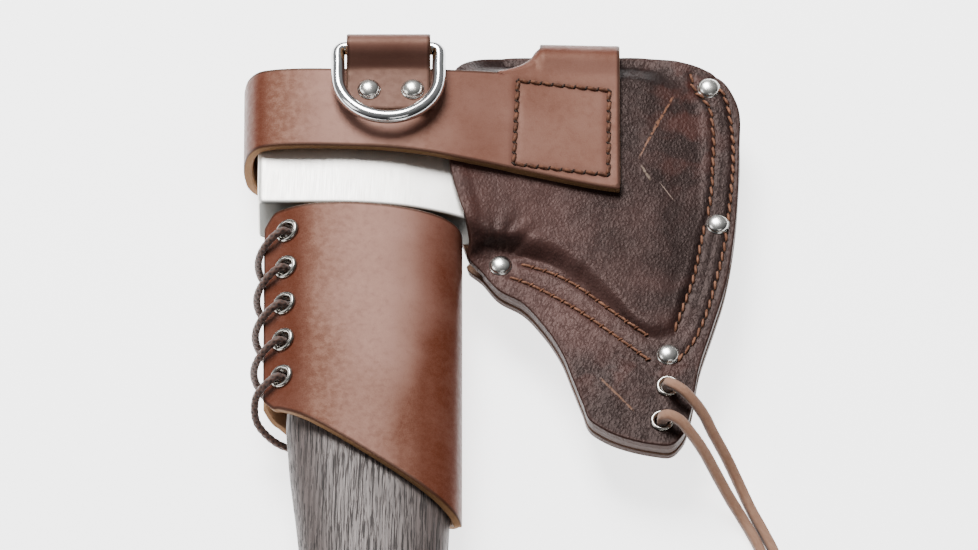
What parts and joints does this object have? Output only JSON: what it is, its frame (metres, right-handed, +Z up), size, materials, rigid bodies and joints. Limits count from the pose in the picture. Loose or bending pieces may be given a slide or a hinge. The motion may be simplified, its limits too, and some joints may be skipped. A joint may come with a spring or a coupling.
{
  "type": "carving hatchet",
  "caption": "Bearded carving hatchet lying on its side, with a laced leather collar on its neck and a stitched leather blade sheath held by a strap round the poll.",
  "frame": {"origin": "on the surface under the middle of the hatchet's box, measured without its free thong", "axes": "+X from the poll to the cutting edge, +Y from the butt of the handle to the top of the head, +Z up through the hatchet's thickness as it lies on its side"},
  "size_m": [0.1886, 0.405, 0.0469],
  "materials": {
    "satin_steel": "satin ground steel",
    "stained_ash": "open-grain ash, stained dark grey-brown",
    "wedge_wood": "plain pale wood",
    "wedge_steel": "plain round steel wedge",
    "strap_leather": "smooth vegetable-tanned leather, waxed face and pale tan cut edges",
    "sheath_leather": "oiled pull-up leather, dark brown, creased grain",
    "welt_leather": "dark leather spacer",
    "waxed_thread": "copper-brown waxed thread",
    "strap_thread": "dark tan waxed thread",
    "nickel": "bright nickel plate",
    "polished_steel": "polished steel wire",
    "braided_cord": "dark brown braided round cord",
    "thong_leather": "tan leather thong, slightly fuzzy"
  },
  "bodies": {
    "hatchet": {"axe_head": "satin_steel", "handle": "stained_ash", "eye_wedge": "wedge_wood", "wedge_ring": "wedge_steel", "collar": "strap_leather", "collar_eyelets_front": "nickel", "collar_eyelets_back": "nickel", "collar_lace": "braided_cord", "sheath_front_panel": "sheath_leather", "sheath_back_panel": "sheath_leather", "sheath_welt": "welt_leather", "edge_seam_thread": "waxed_thread", "beard_seam_thread": "waxed_thread", "sheath_rivets": "nickel", "tail_eyelets": "nickel", "poll_strap": "strap_leather", "strap_fold": "strap_leather", "strap_box_thread": "strap_thread", "fold_seam_thread": "strap_thread", "ring_keeper": "strap_leather", "keeper_rivets": "nickel", "snap_stud": "nickel", "snap_post": "nickel", "lace_upper_strand": "thong_leather", "lace_lower_strand": "thong_leather", "lace_bridge": "thong_leather", "lace_coil": "thong_leather", "lace_tie": "braided_cord", "lace_knots": "thong_leather"},
    "ring": {"d_ring": "polished_steel"},
    "flap": {"strap_flap": "strap_leather", "snap_cap": "nickel", "snap_socket": "nickel"}
  },
  "joints": [
    {"name": "ring_swing", "type": "hinge", "parent": "hatchet", "child": "ring", "pos_m": [-0.0368, 0.18995, 0.041], "axis": [-1, 0, 0], "range_deg": [0, 262]},
    {"name": "flap_swing", "type": "hinge", "parent": "hatchet", "child": "flap", "pos_m": [-0.0745, 0.16745, 0.0033], "axis": [0, 1, 0], "range_deg": [0, 115]}
  ]
}
